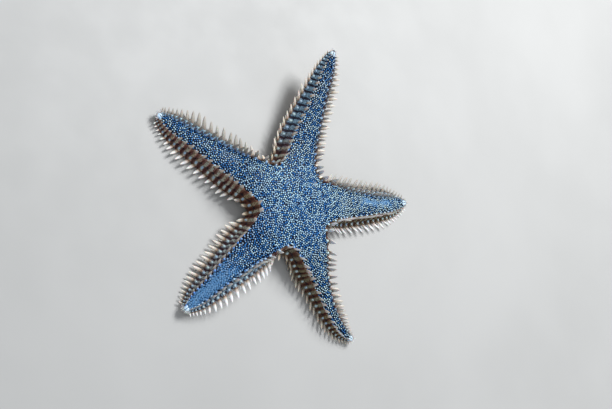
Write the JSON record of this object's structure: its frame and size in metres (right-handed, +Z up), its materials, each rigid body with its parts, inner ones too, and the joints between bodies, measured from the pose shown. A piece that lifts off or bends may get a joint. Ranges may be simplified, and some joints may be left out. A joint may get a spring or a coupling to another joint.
{
  "type": "sand sea star",
  "caption": "Life-size still model of a sand sea star lying on the floor, its arms fringed with spines and one arm lifted.",
  "frame": {"origin": "on the floor, at the centre of the outline's bounding box seen from above; the disc's centre is about 7 mm from it", "axes": "+Z up; the lifted arm points along +Y, and the other four follow it anticlockwise as seen from above"},
  "size_m": [0.1132, 0.1048, 0.0175],
  "materials": {
    "skin": "dense slate-blue granules with pale blue tips, matt and slightly moist",
    "margin_plates": "red-brown to olive ribs with small blue-white granules",
    "spines": "tan to pale pink, near white at the tips, smooth",
    "tube_feet": "pale amber, moist",
    "sieve_plate": "grey-brown with fine winding grooves"
  },
  "bodies": {
    "root": {"disc": "skin", "sieve_plate": "sieve_plate", "arm_1_inner": "skin", "arm_1_middle": "skin", "arm_1_outer": "skin", "arm_2_inner": "skin", "arm_2_middle": "skin", "arm_2_outer": "skin", "arm_3_inner": "skin", "arm_3_middle": "skin", "arm_3_outer": "skin", "arm_4_inner": "skin", "arm_4_middle": "skin", "arm_4_outer": "skin", "arm_5_inner": "skin", "arm_5_middle": "skin", "arm_5_outer": "skin"}
  },
  "joints": []
}
